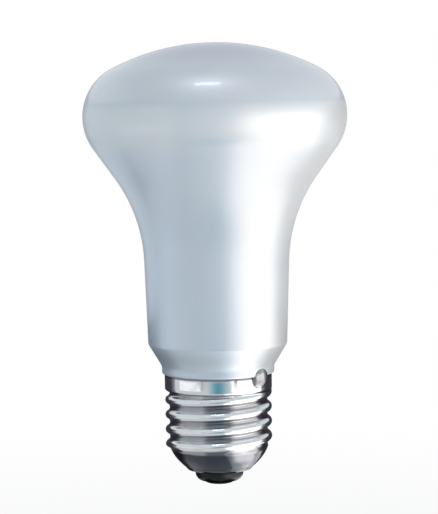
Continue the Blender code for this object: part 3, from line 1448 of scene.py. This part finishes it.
@dataclass(frozen=True)
class Studio:
    """The pale floor, the even light of the room, the lamps and the cards."""

    floor_height: float = -0.045
    floor_size: float = 40.0
    floor_colour: Colour = tint(0.86, 0.87, 0.88)
    far_span: Span = (0.05, 0.40)
    near_white: float = 0.85
    mirrored_white: float = 0.75
    white: Colour = tint(1.0, 1.0, 1.0)
    cool_white: Colour = tint(0.92, 0.97, 1.0)
    room_colour: Colour = tint(0.85, 0.97, 1.0)
    room_strength: float = 0.48

    def build_floor(self) -> None:
        """Lay a plain pale floor that turns to white away from the bulb."""
        size = Matrix.Diagonal((self.floor_size, self.floor_size, 1.0, 1.0))
        level = Matrix.Translation((0.0, 0.0, self.floor_height))
        obj = lay_plane("studio_floor", level @ size)
        recipe = Recipe("studio_floor_paint")
        recipe.shade(Base_Color=self.floor_colour, Roughness=0.8)
        x, y, _ = recipe.axes
        far = x.length_with(y).held(*self.far_span)
        rays = recipe.node("ShaderNodeLightPath").outputs
        seen = Value(recipe, rays["Is Camera Ray"])
        mirrored = Value(recipe, rays["Is Glossy Ray"])
        lit = seen * (far * (1 - self.near_white) + self.near_white)
        share = lit + mirrored * self.mirrored_white
        white = recipe.node("ShaderNodeEmission", inputs={"Color": self.white})
        inputs = {0: share, 1: recipe.shader.outputs[0], 2: white.outputs[0]}
        mixed = recipe.node("ShaderNodeMixShader", inputs=inputs)
        output = recipe.tree.nodes["Material Output"]
        recipe.feed(output, {"Surface": mixed.outputs[0]})
        obj.data.materials.append(recipe.material)
        LOG.info("%s: laid", obj.name)

    def build_room(self) -> None:
        """Light the room evenly, and show it white to the camera."""
        world = bpy.data.worlds.new("studio_room")
        world.use_nodes = True
        bpy.context.scene.world = world
        nodes = Nodes(world.node_tree)
        even = nodes.tree.nodes["Background"]
        nodes.feed(even, {"Color": self.room_colour, "Strength": self.room_strength})
        rays = nodes.node("ShaderNodeLightPath").outputs
        shown = even.outputs[0]
        views = {"Is Glossy Ray": self.cool_white, "Is Camera Ray": self.white}
        for ray, colour in views.items():
            plain = nodes.node("ShaderNodeBackground", inputs={"Color": colour})
            inputs = {0: rays[ray], 1: shown, 2: plain.outputs[0]}
            shown = nodes.node("ShaderNodeMixShader", inputs=inputs).outputs[0]
        nodes.feed(nodes.tree.nodes["World Output"], {"Surface": shown})

    def build_lamps(self) -> None:
        """Stand the upright lamps, and place the level ones."""
        floor = self.floor_height
        warm = (1.0, 0.885, 0.815)
        cool = (0.93, 0.965, 1.0)
        SoftBox(
            name="key_box", azimuth=63.0, distance=0.50, width=0.82,
            low=floor, high=0.14, brightness=1.35, colour=warm,
        ).build()
        SoftBox(
            name="side_fill", azimuth=60.0, distance=0.80, width=0.90,
            low=floor, high=0.18, brightness=3.9, colour=warm, seen=Seen.BY_MATT,
        ).build()
        SoftBox(
            name="left_strip", azimuth=-64.0, distance=0.35, width=0.34,
            low=floor, high=-0.01, brightness=0.62, colour=cool,
        ).build()
        SoftBox(
            name="left_fill", azimuth=-112.0, distance=0.80, width=0.60,
            low=floor, high=0.10, brightness=2.2, colour=cool, seen=Seen.BY_MATT,
        ).build()
        LevelPanel(
            name="low_panel", x=0.228, y=-0.03, width=0.40, depth=0.23,
            height=floor + 0.002, brightness=1.15, colour=warm,
        ).build()
        LevelPanel(
            name="fore_panel", x=0.225, y=-0.285, width=0.23, depth=0.28,
            height=floor + 0.002, brightness=1.15, colour=warm,
        ).build()
        LevelPanel(
            name="skirt_panel", x=0.019, y=-0.008, width=0.028, depth=0.036,
            height=-0.002, brightness=1.4, seen=Seen.BY_SHINY,
        ).build()
        LevelPanel(
            name="glint_strip", x=-0.075, y=-0.31, width=0.30, depth=0.12,
            height=1.1, brightness=9.5, seen=Seen.BY_SHINY, turn=180.0,
        ).build()

    def build_cards(self) -> None:
        """Stand and lay the cards that the metal and the glass mirror."""
        floor = self.floor_height
        dark = tint(0.055, 0.055, 0.070)
        grey = tint(0.33, 0.34, 0.36)
        mid = tint(0.46, 0.46, 0.46)
        StandingCard(
            name="front_card", azimuth=0.0, distance=0.100, width=0.100, low=-0.022,
            high=0.020, colour=tint(0.13, 0.41, 0.51), edge=tint(0.80, 0.88, 0.92),
        ).build()
        for name, azimuth in (("left_mark", -33.0), ("right_mark", 35.0)):
            StandingCard(
                name=name, azimuth=azimuth, distance=0.102, width=0.013,
                low=0.0128, high=0.0240, colour=grey, edge=mid,
            ).build()
        for name, azimuth in (("left_card", -136.0), ("right_card", 136.0)):
            StandingCard(
                name=name, azimuth=azimuth, distance=0.060, width=0.090,
                low=floor, high=0.034, colour=dark, edge=grey, fade=0.5,
            ).build()
        rear = (("rear_card", 144.0, 0.64), ("far_card", -166.0, 0.34))
        for name, azimuth, width in rear:
            StandingCard(
                name=name, azimuth=azimuth, distance=0.50, width=width,
                low=floor, high=0.17, colour=grey, edge=grey,
            ).build()
        # Painted shade: a near-black sheet just under the tip, seen only in reflections,
        # stands in for the shade beneath the cap.
        LyingSheet(
            name="low_sheet", x=0.0, y=0.0, width=0.0112, depth=0.0112,
            height=-0.0015, colour=tint(0.015, 0.015, 0.020),
        ).build()
        LyingSheet(
            name="rear_sheet", x=0.17, y=0.20, width=0.34, depth=0.22,
            height=floor + 0.004, colour=mid,
        ).build()

    def build(self) -> None:
        """Build the whole studio."""
        self.build_floor()
        self.build_room()
        self.build_lamps()
        self.build_cards()


@dataclass(frozen=True)
class PictureCamera:
    """The camera of the picture: level with the head and looking slightly down."""

    distance: float = 0.550
    height: float = 0.10138
    down: float = 4.850
    roll: float = -0.761
    sensor: float = 36.0
    focal_pixels: float = 2260.6
    long_side: float = 514.0
    shift_right: float = 2.30
    shift_down: float = 4.01

    def build(self) -> None:
        """Place the camera and make it the scene's own."""
        data = bpy.data.cameras.new("picture_camera")
        data.sensor_width = self.sensor
        data.lens = self.focal_pixels / self.long_side * self.sensor
        data.shift_x = self.shift_right / self.long_side
        data.shift_y = self.shift_down / self.long_side
        obj = bpy.data.objects.new("picture_camera", data)
        bpy.context.scene.collection.objects.link(obj)
        tilt = Euler((math.radians(90.0 - self.down), 0.0, 0.0)).to_matrix()
        turn = Matrix.Rotation(math.radians(self.roll), 3, "Z")
        obj.rotation_euler = (tilt @ turn).to_euler()
        obj.location = (0.0, -self.distance, self.height)
        bpy.context.scene.camera = obj


def main() -> None:
    """Place the camera, build each sub-assembly in order, and then the studio."""
    logging.basicConfig(level=logging.INFO, format="%(name)s: %(message)s")
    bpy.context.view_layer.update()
    cap = Cap()

    PictureCamera().build()
    envelope = GlassEnvelope()
    envelope.dress(envelope.build(cap))

    shell = ScrewShell()
    shell.dress(shell.build(cap))

    bead = SideBead()
    bead.dress(bead.build(cap))

    end = CapEnd()
    end.dress(end.build_insulator(cap), end.build_contact(), end.build_drop())
    dress_cement()

    Studio().build()
    bpy.context.scene.view_settings.view_transform = "Standard"


if __name__ == "__main__":
    main()
